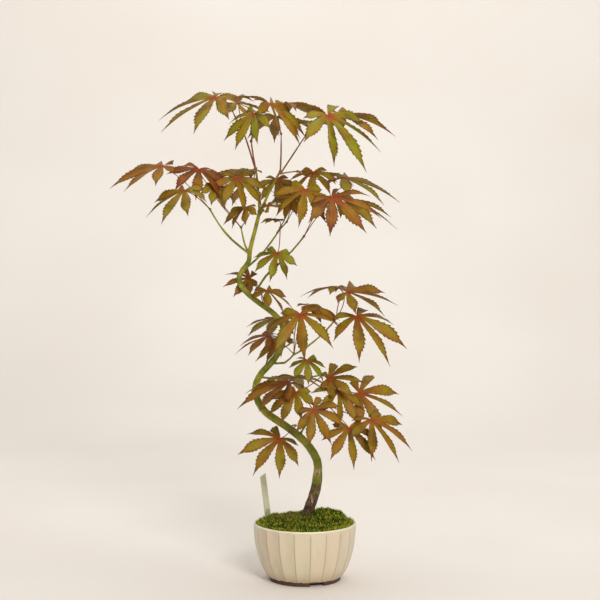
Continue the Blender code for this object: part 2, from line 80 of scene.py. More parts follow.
def deselectAll():
    if bpy.context.object and bpy.context.object.mode != "OBJECT":
        bpy.ops.object.mode_set(mode="OBJECT")
    bpy.ops.object.select_all(action="DESELECT")


def takeUp(*pieces):
    # selects these pieces, the last of them active
    deselectAll()
    for piece in pieces:
        piece.select_set(True)
    bpy.context.view_layer.objects.active = pieces[-1]


def startPiece(name, addShape, **settings):
    deselectAll()
    addShape(**settings)
    piece = bpy.context.object
    piece.name = name
    piece.data.name = name
    return piece


def editPiece(piece):
    takeUp(piece)
    bpy.ops.object.mode_set(mode="EDIT")
    bpy.context.tool_settings.mesh_select_mode = (True, False, False)


def pickPoints(piece, test):
    # in edit mode, selects the points that pass the test, and no others
    shape = bmesh.from_edit_mesh(piece.data)
    for part in (*shape.faces, *shape.edges):
        part.select = False
    for point in shape.verts:
        point.select = test(point.co)
    shape.select_flush_mode()
    bmesh.update_edit_mesh(piece.data)


def addStep(piece, kind, **settings):
    step = piece.modifiers.new(kind.lower(), kind)
    for setting, value in settings.items():
        setattr(step, setting, value)


def applySteps(piece):
    takeUp(piece)
    for step in list(piece.modifiers):
        bpy.ops.object.modifier_apply(modifier=step.name)


def settle(piece):
    # the place, turn and scale go into the mesh, so that the object sits at the origin
    takeUp(piece)
    bpy.ops.object.transform_apply(location=True, rotation=True, scale=True)


def smoothBelow(piece, degrees):
    takeUp(piece)
    bpy.ops.object.shade_smooth_by_angle(angle=math.radians(degrees))


def copyNode(name, nodeName):
    # a merged copy of a plain CAD piece, to work on
    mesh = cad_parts[nodeName].data.copy()
    mesh.name = name
    mesh.materials.clear()
    piece = bpy.data.objects.new(name, mesh)
    bpy.context.scene.collection.objects.link(piece)
    editPiece(piece)
    bpy.ops.mesh.select_all(action="SELECT")
    bpy.ops.mesh.remove_doubles(threshold=weld)
    bpy.ops.object.mode_set(mode="OBJECT")
    return piece


def meshPiece(name, points, faces):
    mesh = bpy.data.meshes.new(name)
    mesh.from_pydata(points, [], faces)
    piece = bpy.data.objects.new(name, mesh)
    bpy.context.scene.collection.objects.link(piece)
    return piece


def finishPiece(piece, slot, *nodes):
    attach(piece, "root")
    if nodes:
        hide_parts(*nodes)


# ---- materials: one small kit for nodes, then a function for each finish

class Recipe:
    # a material under construction, with short ways to add and join its nodes
    def __init__(self, name, roughness=0.5, **values):
        self.material = bpy.data.materials.new(name)
        self.material.use_nodes = True
        self.tree = self.material.node_tree
        self.shader = self.tree.nodes["Principled BSDF"]
        self.shader.inputs["Roughness"].default_value = roughness
        for socket, value in values.items():
            self.shader.inputs[socket].default_value = value
        self.place = self.add("TexCoord").outputs["Object"]

    def add(self, kind, inputs=None, **settings):
        node = self.tree.nodes.new("ShaderNode" + kind)
        for setting, value in settings.items():
            setattr(node, setting, value)
        for socket, value in (inputs or {}).items():
            self.join(value, node.inputs[socket])
        return node

    def join(self, value, socket):
        if isinstance(value, bpy.types.NodeSocket):
            self.tree.links.new(value, socket)
        else:
            socket.default_value = value

    def math(self, operation, first, second=0.0):
        return self.add("Math", {0: first, 1: second}, operation=operation).outputs[0]

    def between(self, value, low, high, start=0.0, end=1.0):
        # value from low to high becomes start to end, smoothly
        node = self.add("MapRange", {"Value": value, "From Min": low, "From Max": high,
                                     "To Min": start, "To Max": end}, interpolation_type="SMOOTHSTEP")
        return node.outputs["Result"]

    def grain(self, scale, detail=4, stretch=None):
        place = self.place
        if stretch:
            place = self.add("Mapping", {"Vector": place, "Scale": stretch}).outputs[0]
        settings = {"Vector": place, "Scale": scale, "Detail": detail, "Roughness": grainRoughness}
        return self.add("TexNoise", settings).outputs["Fac"]

    def mix(self, amount, first, second):
        return self.add("Mix", {0: amount, 6: first, 7: second}, data_type="RGBA").outputs[2]

    def bump(self, height, strength, distance, normal=None):
        inputs = {"Height": height, "Strength": strength, "Distance": distance}
        if normal:
            inputs["Normal"] = normal
        return self.add("Bump", inputs).outputs[0]

    def colour(self, value):
        self.join(value, self.shader.inputs["Base Color"])

    def normal(self, value):
        self.join(value, self.shader.inputs["Normal"])

    def uv(self, name):
        return self.add("SeparateXYZ", {0: self.add("UVMap", uv_map=name).outputs[0]}).outputs


leafPaint = {
    "fresh": paint(152, 158, 26), "olive": paint(164, 142, 22), "bronze": paint(168, 116, 24),
    "russet": paint(152, 74, 30), "edge": paint(104, 48, 20), "hub": paint(182, 74, 38),
    "vein": paint(206, 150, 66), "blush": paint(156, 76, 34), "shade": paint(80, 54, 14),
}

# along the rib, as shares of its length
leafVeins = {"firstTooth": 0.33, "toothGap": 0.0865}


def leafFinish():
    look = Recipe("mapleLeaf", 0.5, **{"Specular IOR Level": 0.28})
    along, across, _ = look.uv("lobe")
    fromRib = look.math("ABSOLUTE", look.math("SUBTRACT", look.math("MULTIPLY", across, 2.0), 1.0))
    autumn = look.add("Attribute", attribute_name="autumn").outputs["Fac"]
    mottled = look.math("ADD", autumn, look.between(look.grain(55, 3), 0.3, 0.7, -0.22, 0.22))
    green = look.mix(look.between(mottled, 0.0, 0.4), leafPaint["fresh"], leafPaint["olive"])
    warm = look.mix(look.between(mottled, 0.35, 0.7), green, leafPaint["bronze"])
    body = look.mix(look.between(mottled, 0.7, 1.05), warm, leafPaint["russet"])
    speckle = look.between(look.grain(420, 5), 0.45, 0.75, 0.0, 0.35)
    clouds = look.between(look.grain(34, 3), 0.48, 0.68, 0.0, 0.6)
    body = look.mix(look.math("MAXIMUM", speckle, clouds), body, leafPaint["shade"])
    # the margins and the long tip turn brown first
    rim = look.math("MULTIPLY", look.between(fromRib, 0.58, 1.0), look.between(along, 0.1, 0.4))
    patchy = look.between(look.grain(80, 2), 0.35, 0.65, 0.45, 0.95)
    body = look.mix(look.math("MULTIPLY", rim, patchy), body, leafPaint["edge"])
    body = look.mix(look.between(along, 0.72, 0.98, 0.0, 0.8), body, leafPaint["edge"])
    # red runs out from the hub along each rib, and the hub itself glows
    outward = look.between(along, 0.15, 0.65, 1.0, 0.1)
    blush = look.math("MULTIPLY", look.between(fromRib, 0.0, 0.5, 0.75, 0.0), outward)
    body = look.mix(blush, body, leafPaint["blush"])
    body = look.mix(look.between(along, 0.02, 0.2, 0.85, 0.0), body, leafPaint["hub"])
    # veins: the rib, and one to each tooth
    rib = look.between(fromRib, 0.03, 0.12, 1.0, 0.0)
    gap = leafVeins["toothGap"]
    teeth = look.math("PINGPONG", look.math("ADD", along, gap - leafVeins["firstTooth"]), gap / 2)
    side = look.between(teeth, 0.0, 0.006, 1.0, 0.0)
    side = look.math("MULTIPLY", side, look.between(along, 0.2, 0.3))
    veins = look.math("MAXIMUM", rib, look.math("MULTIPLY", side, 0.5))
    body = look.mix(look.math("MULTIPLY", veins, 0.3), body, leafPaint["vein"])
    look.colour(body)
    quilt = look.bump(look.grain(900, 3), 0.25, 0.0003)
    look.normal(look.bump(veins, 0.5, 0.0004, quilt))
    glow = look.add("BsdfTranslucent", {"Color": look.mix(0.35, body, paint(220, 196, 30))})
    both = look.add("MixShader", {0: 0.3, 1: look.shader.outputs[0], 2: glow.outputs[0]})
    look.join(both.outputs[0], look.tree.nodes["Material Output"].inputs["Surface"])
    return look.material


def stalkFinish():
    look = Recipe("leafStalk", 0.45)
    patch = look.between(look.grain(70, 3), 0.35, 0.65)
    look.colour(look.mix(patch, paint(146, 62, 40), paint(128, 92, 44)))
    look.normal(look.bump(look.grain(600, 3, (1, 1, 0.2)), 0.3, 0.0002))
    return look.material


# heights of the dark foot, the change from old bark to young, and the red top shoots
barkLook = {
    "footFrom": 0.072, "footTo": 0.084, "youngFrom": 0.096, "youngTo": 0.128,
    "topFrom": 0.415, "topTo": 0.465, "poreScale": 330.0,
}


def barkFinish():
    look = Recipe("bark", 0.6, **{"Specular IOR Level": 0.3})
    height = look.add("SeparateXYZ", {0: look.place}).outputs["Z"]
    cloud = look.grain(60, 5)
    fine = look.grain(480, 5, (1, 1, 0.35))
    old = look.mix(look.between(cloud, 0.44, 0.58), paint(92, 64, 42), paint(204, 176, 134))
    old = look.mix(look.between(fine, 0.48, 0.62), old, paint(46, 30, 20))
    foot = look.between(height, barkLook["footFrom"], barkLook["footTo"], 0.6, 0.0)
    old = look.mix(foot, old, paint(62, 40, 26))
    young = look.mix(look.between(cloud, 0.38, 0.64), paint(104, 112, 24), paint(156, 150, 44))
    young = look.mix(look.between(fine, 0.52, 0.72, 0.0, 0.5), young, paint(88, 74, 24))
    top = look.mix(look.between(cloud, 0.4, 0.6), paint(138, 76, 50), paint(112, 66, 42))
    edge = look.math("ADD", height, look.between(look.grain(90, 3), 0.2, 0.8, -0.02, 0.02))
    body = look.mix(look.between(edge, barkLook["youngFrom"], barkLook["youngTo"]), old, young)
    body = look.mix(look.between(height, barkLook["topFrom"], barkLook["topTo"]), body, top)
    # lenticels: small pale slits
    stretched = look.add("Mapping", {"Vector": look.place, "Scale": (1, 1, 2.2)}).outputs[0]
    spots = look.add("TexVoronoi", {"Vector": stretched, "Scale": barkLook["poreScale"]})
    spots = spots.outputs["Distance"]
    pale = look.between(spots, 0.1, 0.2, 0.55, 0.0)
    body = look.mix(pale, body, paint(204, 180, 128))
    look.colour(body)
    rough = look.bump(fine, 0.6, 0.0006)
    look.normal(look.bump(spots, 0.25, 0.0003, rough))
    return look.material


# heights of the glaze's edge, of its lower part that turns darker towards the bottom, of the pale lip,
# which is a painted highlight, and where the ridge lines end; within the last radius the pot is bare
glazeLook = {
    "turn": math.radians(6), "footLine": 0.0046, "thin": (0.004, 0.02), "lip": (0.061, 0.0622),
    "ridgeEnd": (0.056, 0.061), "bareWithin": (0.0345, 0.0352),
}


def glazeFinish():
    look = Recipe("creamGlaze", 0.4)
    look.shader.inputs["Coat Weight"].default_value = 0.2
    look.shader.inputs["Coat Roughness"].default_value = 0.12
    centred = look.add("Mapping", {"Vector": look.place, "Location": tuple(-potAxis)}).outputs[0]
    x, y, height = look.add("SeparateXYZ", {0: centred}).outputs
    angle = look.math("SUBTRACT", look.math("ARCTAN2", y, x), glazeLook["turn"])
    flutes = potShape["flutes"]
    fromRidge = look.math("PINGPONG", look.math("ADD", angle, flutes * math.pi), math.pi / flutes)
    ridge = look.between(fromRidge, 0.002, 0.02, 1.0, 0.0)
    ridge = look.math("MULTIPLY", ridge, look.between(height, *glazeLook["ridgeEnd"], 1.0, 0.2))
    soft = look.grain(38, 4, (1, 1, 0.45))
    body = look.mix(look.between(soft, 0.35, 0.68), paint(204, 196, 166), paint(214, 194, 168))
    streaks = look.grain(160, 4, (1, 1, 0.1))
    body = look.mix(look.between(streaks, 0.5, 0.72, 0.0, 0.3), body, paint(186, 164, 128))
    body = look.mix(look.math("MULTIPLY", ridge, 0.6), body, paint(150, 124, 88))
    # the glazed body turns darker towards the bottom
    low = look.between(height, *glazeLook["thin"], 0.45, 0.0)
    body = look.mix(low, body, paint(176, 152, 114))
    # painted highlight: a pale band along the top outer edge of the rim
    lip = look.between(height, *glazeLook["lip"])
    body = look.mix(look.math("MULTIPLY", lip, 0.9), body, paint(238, 232, 192))
    specks = look.add("TexVoronoi", {"Vector": look.place, "Scale": 420.0}).outputs["Distance"]
    fleck = look.math("MULTIPLY", look.between(specks, 0.05, 0.1, 0.5, 0.0), look.grain(90, 2))
    body = look.mix(fleck, body, paint(120, 84, 48))
    # bare clay below the glaze line, on the foot, the underside and the floor; its brown is partly
    # painted shade, darker for the shadow under the pot
    line = look.math("ADD", height, look.between(look.grain(120, 3), 0.3, 0.7, -0.0007, 0.0007))
    glazed = look.between(line, glazeLook["footLine"] - 0.0002, glazeLook["footLine"] + 0.0003)
    squares = look.math("ADD", look.math("MULTIPLY", x, x), look.math("MULTIPLY", y, y))
    outside = look.between(look.math("SQRT", squares), *glazeLook["bareWithin"])
    glazed = look.math("MULTIPLY", glazed, outside)
    clayAndShade = look.mix(look.grain(300, 5), paint(56, 36, 26), paint(92, 62, 46))
    look.colour(look.mix(glazed, clayAndShade, body))
    look.join(look.between(glazed, 0.0, 1.0, 0.85, 0.3), look.shader.inputs["Roughness"])
    sand = look.bump(look.grain(1500, 3), look.between(glazed, 0.0, 1.0, 0.5, 0.04), 0.0003)
    look.normal(look.bump(look.grain(70, 3), 0.12, 0.001, sand))
    return look.material


# a patch of dry threads left of the trunk: its middle from the pot's axis, and its reach
mossLook = {"dryPlace": Vector((-0.02, 0.008, 0.068)), "dryReach": (0.008, 0.022)}


def mossFinish():
    look = Recipe("moss", 0.85, **{"Specular IOR Level": 0.15})
    which, tip, _ = look.uv("tuft")
    patch = look.grain(60, 3)
    # the dark base colour: partly the moss's own older lower growth, partly painted shade deep among the
    # tufts
    baseAndShade = look.mix(look.between(patch, 0.35, 0.65), paint(32, 42, 4), paint(66, 68, 10))
    fresh = look.mix(look.between(patch, 0.38, 0.6), paint(166, 200, 34), paint(242, 236, 68))
    fresh = look.mix(look.between(which, 0.6, 1.0, 0.0, 0.75), fresh, paint(222, 218, 104))
    fresh = look.mix(look.between(which, 0.0, 0.25, 0.85, 0.0), fresh, paint(72, 84, 14))
    body = look.mix(look.between(tip, 0.15, 0.8), baseAndShade, fresh)
    # painted shade: random hollows darkened to the base colour
    hollowShade = look.between(look.grain(230, 3), 0.38, 0.5, 0.7, 0.0)
    body = look.mix(hollowShade, body, baseAndShade)
    middle = tuple(potAxis + mossLook["dryPlace"])
    away = look.add("VectorMath", {0: look.place, 1: middle}, operation="DISTANCE").outputs["Value"]
    dry = look.between(away, *mossLook["dryReach"], 0.8, 0.0)
    dry = look.math("MULTIPLY", dry, look.between(look.grain(200, 4), 0.38, 0.54))
    threads = look.mix(look.grain(420, 3), paint(70, 48, 26), paint(158, 130, 72))
    body = look.mix(dry, body, threads)
    look.colour(body)
    look.normal(look.bump(look.grain(1100, 3), 0.4, 0.0004))
    return look.material


def soilFinish():
    look = Recipe("pottingSoil", 0.95)
    crumbs = look.add("TexVoronoi", {"Vector": look.place, "Scale": 520.0}).outputs
    body = look.mix(look.grain(260, 4), paint(52, 36, 24), paint(104, 80, 56))
    look.colour(look.mix(look.between(crumbs["Distance"], 0.2, 0.6, 0.6, 0.0), body, paint(36, 24, 16)))
    look.normal(look.bump(crumbs["Distance"], 0.8, 0.001))
    return look.material


def labelFinish():
    look = Recipe("labelPlastic", 0.42)
    height = look.add("SeparateXYZ", {0: look.place}).outputs["Z"]
    body = look.mix(look.between(look.grain(60, 3), 0.3, 0.7), paint(190, 184, 150), paint(204, 200, 170))
    stain = look.math("ADD", height, look.between(look.grain(260, 4), 0.3, 0.7, -0.004, 0.004))
    body = look.mix(look.between(stain, 0.066, 0.078, 0.6, 0.0), body, paint(118, 112, 66))
    scuff = look.between(look.grain(500, 4, (1, 1, 0.12)), 0.6, 0.72, 0.0, 0.25)
    look.colour(look.mix(scuff, body, paint(214, 210, 188)))
    look.normal(look.bump(look.grain(900, 2, (1, 1, 0.2)), 0.1, 0.0002))
    return look.material


def screenFinish():
    look = Recipe("screenPlastic", 0.5)
    dust = look.between(look.grain(500, 4), 0.5, 0.7, 0.0, 0.5)
    look.colour(look.mix(dust, paint(26, 26, 26), paint(82, 66, 48)))
    look.normal(look.bump(look.grain(1200, 2), 0.2, 0.0002))
    return look.material


def wireFinish():
    look = Recipe("wireAluminium", 0.36, Metallic=1.0)
    look.colour(look.mix(look.grain(400, 3), paint(176, 172, 166), paint(132, 128, 122)))
    look.normal(look.bump(look.grain(900, 3, (0.15, 1, 1)), 0.2, 0.0002))
    return look.material


# ---- pot: turned row by row, fluted, then cut for its drain notches

# sizes in millimetres
potShape = {
    "segments": 240, "flutes": 20, "rim": 56.0, "footRadius": 39.0, "footWidth": 6.0, "step": 1.2,
    "footHeight": 4.5, "curve": (2.15, 0.8), "wall": 4.5, "floor": 11.0, "underside": 5.5,
    "hole": 7.0, "feet": 3, "notch": (16.0, 3.5), "firstNotch": math.radians(-71),
    # the hollowing from one ridge to the middle of its panel, in twelfths of a flute, and the
    # radius at which it is this deep
    "flute": (0.34, 0.0, -0.34, -0.58, -0.76, -0.86, -0.9), "fluteRadius": 50,
}


def potRadius(height):
    height = min(height, potHigh.z / mm)
    start = potShape["footRadius"] + potShape["step"]
    share = (height - potShape["footHeight"]) / (potHigh.z / mm - potShape["footHeight"])
    upper, lower = potShape["curve"]
    return start + (potShape["rim"] - start) * (1 - (1 - share) ** upper) ** lower


def potRows():
    # the section of the pot, from the foot's edge up the outside, over the lip and back underneath
    foot, wide, floor, under, hole = (potShape[key] for key in
                                      ("footRadius", "footWidth", "floor", "underside", "hole"))
    rows = [(foot - 0.7, 0), (foot - 0.15, 0.3), (foot, 0.9), (foot, 3.4), (foot + 0.15, 4.1),
            (foot + 0.9, 4.35)]
    rows += [(potRadius(z), z) for z in (4.7, 5.6, 7, 9, 11.5, 15, 19, 24, 30, 36, 42, 48, 52, 54.5,
                                         56, 57.3, 58.6, 60, 61.2)]
    rim = potShape["rim"]
    rows += [(rim - 0.25, 62.1), (rim - 0.9, 62.75), (rim - 1.8, 63), (rim - 2.8, 62.9),
             (rim - 3.7, 62.3), (rim - 4.3, 61.3), (rim - 4.5, 60)]
    rows += [(potRadius(z) - potShape["wall"], z) for z in (56, 50, 42, 33, 24, 17)]
    rows += [(36.5, floor + 1.2), (34, floor), (20, floor), (hole + 0.5, floor), (hole, floor - 0.5),
             (hole, under + 0.5), (hole + 0.5, under), (20, under), (foot - wide - 0.5, under),
             (foot - wide, under - 0.5), (foot - wide, 0.8), (foot - wide + 0.6, 0.1),
             (foot - 3, 0), (foot - 0.7, 0)]
    return [(radius * mm, height * mm) for radius, height in rows]


def flutePot(pot):
    # resizes each set of upright lines towards or away from the axis, less so under the lip
    perFlute = potShape["segments"] // potShape["flutes"]
    turn = glazeLook["turn"]

    def line(point):
        step = (math.atan2(point.y, point.x) - turn) / (2 * math.pi) * potShape["segments"]
        place = round(step) % perFlute
        return min(place, perFlute - place)

    bands = ((0.0046, 0.0575, 1.0), (0.0575, 0.0605, 0.9), (0.0605, 0.0618, 0.7),
             (0.0618, 0.0625, 0.45))
    for low, high, share in bands:
        for number, depth in enumerate(potShape["flute"]):
            pickPoints(pot, lambda p: low < p.z < high and line(p) == number
                       and math.hypot(p.x, p.y) * 1000 > potRadius(p.z * 1000) - 1)
            size = 1 + depth * share / potShape["fluteRadius"]
            bpy.ops.transform.resize(value=(size, size, 1), center_override=(0, 0, 0))


def turnPot():
    rows = potRows()
    pot = startPiece("flutedPot", bpy.ops.mesh.primitive_circle_add, vertices=potShape["segments"],
                     radius=rows[0][0])
    takeUp(pot)
    pot.rotation_euler.z = glazeLook["turn"]
    settle(pot)
    editPiece(pot)
    bpy.ops.mesh.select_all(action="SELECT")
    for (radius, height), (newRadius, newHeight) in zip(rows, rows[1:]):
        bpy.ops.mesh.extrude_region_move(TRANSFORM_OT_translate={"value": (0, 0, newHeight - height)})
        size = newRadius / radius
        bpy.ops.transform.resize(value=(size, size, 1), center_override=(0, 0, newHeight))
    bpy.ops.mesh.select_all(action="SELECT")
    bpy.ops.mesh.remove_doubles(threshold=weld)
    flutePot(pot)
    bpy.ops.mesh.select_all(action="SELECT")
    bpy.ops.mesh.normals_make_consistent(inside=False)
    bpy.ops.object.mode_set(mode="OBJECT")
    width, height = (size * mm for size in potShape["notch"])
    reach = (potShape["footRadius"] - potShape["footWidth"] / 2) * mm
    for number in range(potShape["feet"]):
        angle = potShape["firstNotch"] + 2 * math.pi * number / potShape["feet"]
        cutter = startPiece("notch", bpy.ops.mesh.primitive_cube_add, size=1,
                            location=(reach * math.cos(angle), reach * math.sin(angle), 0),
                            rotation=(0, 0, angle), scale=(0.016, width, height * 2))
        addStep(cutter, "BEVEL", width=0.0012, segments=3)
        addStep(pot, "BOOLEAN", object=cutter, operation="DIFFERENCE")
        applySteps(pot)
        bpy.data.objects.remove(cutter)
    pot.location = potAxis
    settle(pot)
    smoothBelow(pot, 38)
    pot.data.materials.append(glazeFinish())
    finishPiece(pot, "cream_glaze", "pot")


# ---- leaves: one serrated lobe is modelled, then bent along every lobe of every leaf

lobeShape = {
    "across": 2,
    # along the rib, and half the width there; from the sixth on, each pair is a tooth and its notch
    "rows": ((0.0, 0.05), (0.06, 0.27), (0.115, 0.43), (0.165, 0.48), (0.25, 0.61),
             (0.33, 0.84), (0.352, 0.7), (0.42, 1.0), (0.442, 0.82), (0.505, 1.12), (0.53, 0.88),
             (0.595, 1.03), (0.617, 0.79), (0.68, 0.85), (0.7, 0.61), (0.76, 0.6), (0.78, 0.38),
             (0.85, 0.27), (0.925, 0.1), (1.0, 0.01)),
}
leafShape = {
    "thickness": 0.00022, "fold": 0.3, "sweep": 0.75, "wave": 0.05, "sway": 0.05, "nod": 0.06,
    "roll": 0.55,
    "stalk": 0.00052, "hub": 0.0011, "jointGap": 0.003, "cadShare": 0.74, "cadWidth": 0.62,
}
# how far each leaf has turned, from fresh green 0 to russet 1; the others lie round the middle
leafTurn = {
    "leaf_upper_12": 0.86, "leaf_upper_03": 0.9, "leaf_upper_01": 0.72, "leaf_crown_04": 0.3,
    "leaf_crown_08": 0.12, "leaf_crown_09": 0.62, "leaf_middle_01": 0.12, "leaf_lower_03": 0.18,
    "leaf_lower_10": 0.42, "leaf_lower_04": 0.5, "leaf_lower_06": 0.46, "leaf_lower_07": 0.52,
    "leaf_upper_13": 0.5, "leaf_upper_02": 0.34, "leaf_lower_01": 0.8, "leaf_lower_02": 0.55,
    "leaf_middle_03": 0.75, "leaf_middle_04": 0.5, "leaf_middle_09": 0.7, "leaf_middle_08": 0.4,
    "leaf_upper_10": 0.85, "leaf_middle_05": 0.58, "leaf_lower_09": 0.66,
}


def cutLobe():
    # a flat strip along X, one unit long and one unit to each side, narrowed row by row
    rows = lobeShape["rows"]
    lobe = startPiece("lobe", bpy.ops.mesh.primitive_grid_add, x_subdivisions=len(rows) - 1,
                      y_subdivisions=lobeShape["across"], size=2, location=(0, 0, 0))
    editPiece(lobe)
    step = 2 / (len(rows) - 1)
    for number, (along, wide) in enumerate(rows):
        x = -1 + number * step
        pickPoints(lobe, lambda p: abs(p.x - x) < 0.01)
        bpy.ops.transform.resize(value=(1, wide, 1), center_override=(x, 0, 0))
        bpy.ops.transform.translate(value=(along + 10 - x, 0, 0))
    bpy.ops.mesh.select_all(action="SELECT")
    bpy.ops.transform.translate(value=(-10, 0, 0))
    bpy.ops.object.mode_set(mode="OBJECT")
    # the strip keeps its unbent place in a UV map: along the rib, and across from edge to edge
    chart = lobe.data.uv_layers[0]
    chart.name = "lobe"
    widest = np.interp([v.co.x for v in lobe.data.vertices], *zip(*rows))
    for loop in lobe.data.loops:
        point = lobe.data.vertices[loop.vertex_index].co
        chart.data[loop.index].uv = (point.x, 0.5 + 0.5 * point.y / widest[loop.vertex_index])
    return lobe


def readLeaf(nodeName):
    # the plain leaf's hub, its upper side, its lobes (middle, tip, left edge) and its stalk
    shape = bmesh.new()
    shape.from_mesh(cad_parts[nodeName].data)
    bmesh.ops.remove_doubles(shape, verts=shape.verts, dist=weld)
    spans = {v: [e.calc_length() for e in v.link_edges] for v in shape.verts}
    under = max(shape.verts, key=lambda v: len(v.link_edges))
    busy = [v for v in shape.verts if len(v.link_edges) >= 8 and v is not under]
    top = min(busy, key=lambda v: (v.co - under.co).length)
    upper = (top.co - under.co).normalized()
    hub = under.co.lerp(top.co, 2 / 3)
    lobes = []
    for tip in (v for v in shape.verts if len(v.link_edges) == 3 and min(spans[v]) > 0.0012):
        around = [e.other_vert(tip).co.copy() for e in tip.link_edges]
        ribs = [(around[i] - (around[i - 1] + around[i - 2]) / 2).length for i in range(3)]
        first, second = (p for i, p in enumerate(around) if i != ribs.index(min(ribs)))
        outward = tip.co - hub
        side = (first - second) / 2
        if side.dot(upper.cross(outward)) < 0:
            side = -side
        lobes.append(((first + second) / 2, tip.co.copy(), side))
    rings = [v for v in shape.verts if sum(0.00078 < s < 0.00092 for s in spans[v]) >= 2]
    rings.sort(key=lambda v: (v.co - hub).length)
    stalk = [sum((v.co for v in rings[i:i + 4]), Vector()) / 4 for i in range(0, len(rings), 4)]
    stalk.append(stalk[-1] + (stalk[-1] - stalk[-2]).normalized() * leafShape["jointGap"])
    shape.free()
    return hub, upper, lobes, stalk


def bendLobe(flat, hub, upper, lobe):
    # lays the flat lobe's points along the plain lobe's arch, folded up from the rib
    middle, tip, side = lobe
    share = leafShape["cadShare"]
    whole, part = tip - hub, middle - hub
    bow = (part - whole * share) / (share ** 2 - share)
    start = whole - bow
    half = side.length / leafShape["cadWidth"]
    side = side.normalized()
    length = whole.length
    sway = chance.uniform(-1, 1) * leafShape["sway"] * length
    nod = chance.uniform(0.3, 1) * leafShape["nod"] * length
    wave = chance.uniform(0, 6)
    fold = leafShape["fold"] * chance.uniform(0.6, 1.4)
    roll = chance.uniform(-1, 1) * leafShape["roll"]
    down = Vector((0, 0, -1))
    points = []
    for x, y, _ in flat:
        s = min(1.0, x + abs(y) * half / length * leafShape["sweep"])
        droop = nod * max(0, s - 0.5) ** 2 * 4
        centre = hub + start * s + bow * s * s + side * (sway * s * s) + down * droop
        ahead = (start + bow * 2 * s).normalized()
        above = ahead.cross(side)
        if above.dot(upper) < 0:
            above = -above
        ripple = leafShape["wave"] * math.sin(9 * x + wave + (2 if y > 0 else 0))
        lift = fold * abs(y) + ripple * abs(y)
        turned = Matrix.Rotation(roll * min(1.0, s * 2.5), 3, ahead)
        points.append(centre + turned @ (side * (y * half) + above * (lift * half)))
    return points


def growStalk(name, hub, upper, path):
    # a slender round stalk, a little swollen at both ends, with a knob under the blade's hub
    line = bpy.data.curves.new(name, "CURVE")
    line.dimensions = "3D"
    line.bevel_depth = leafShape["stalk"]
    line.bevel_resolution = 1
    line.resolution_u = 5
    line.use_fill_caps = True
    spline = line.splines.new("BEZIER")
    stops = [hub - upper * 0.0002, *path]
    spline.bezier_points.add(len(stops) - 1)
    for number, (knot, place) in enumerate(zip(spline.bezier_points, stops)):
        knot.co = place
        knot.handle_left_type = knot.handle_right_type = "AUTO"
        knot.radius = (1.5, 0.9, 0.95, 1.1, 1.9)[number]
    stalk = bpy.data.objects.new(name, line)
    bpy.context.scene.collection.objects.link(stalk)
    takeUp(stalk)
    bpy.ops.object.convert(target="MESH")
    knob = startPiece(name + "Knob", bpy.ops.mesh.primitive_ico_sphere_add, subdivisions=2,
                      radius=leafShape["hub"], location=hub - upper * 0.0003)
    settle(knob)
    takeUp(knob, bpy.data.objects[name])
    bpy.ops.object.join()
    return bpy.context.object


def growLeaf(nodeName, lobe, blade, stalkPaint):
    hub, upper, lobes, path = readLeaf(nodeName)
    name = "foliage" + nodeName[4:].title().replace("_", "")
    flat = [v.co.copy() for v in lobe.data.vertices]
    strips = []
    for number, shape in enumerate(lobes):
        strip = bpy.data.objects.new(f"{name}Lobe{number}", lobe.data.copy())
        bpy.context.scene.collection.objects.link(strip)
        spot = np.array(bendLobe(flat, hub, upper, shape), np.float32).ravel()
        strip.data.vertices.foreach_set("co", spot)
        strip.data.materials.clear()
        strip.data.materials.append(blade)
        strips.append(strip)
    takeUp(*strips)
    bpy.ops.object.join()
    leaf = bpy.context.object
    editPiece(leaf)
    bpy.ops.mesh.select_all(action="SELECT")
    bpy.ops.mesh.normals_make_consistent(inside=False)
    bpy.ops.object.mode_set(mode="OBJECT")
    addStep(leaf, "SOLIDIFY", thickness=leafShape["thickness"], offset=0)
    applySteps(leaf)
    stalk = growStalk(name + "Stalk", hub, upper, path)
    stalk.data.materials.clear()
    stalk.data.materials.append(stalkPaint)
    takeUp(stalk, leaf)
    bpy.ops.object.join()
    leaf.name = name
    leaf.data.name = name
    turn = leafTurn.get(nodeName, 0.46) + chance.uniform(-0.14, 0.14)
    leaf.data.attributes.new("autumn", "FLOAT", "POINT")
    leaf.data.attributes["autumn"].data.foreach_set("value", [turn] * len(leaf.data.vertices))
    takeUp(leaf)
    bpy.ops.object.shade_smooth()
    finishPiece(leaf, "leaf", nodeName)
    return path[-1]


def growLeaves():
    lobe = cutLobe()
    blade, stalkPaint = leafFinish(), stalkFinish()
    joints = [growLeaf(nodeName, lobe, blade, stalkPaint) for nodeName in leafNodes]
    bpy.data.objects.remove(lobe)
    return joints


# ---- trunk: the frame's trunk, grown together smoothly, with swollen leaf joints and bark

trunkShape = {
    "voxel": 0.00052, "joint": 0.0015, "relief": 0.00035, "smoothing": 5,
    # rough bark below this height, over this distance
    "oldTop": 0.16, "oldFade": 0.08,
}


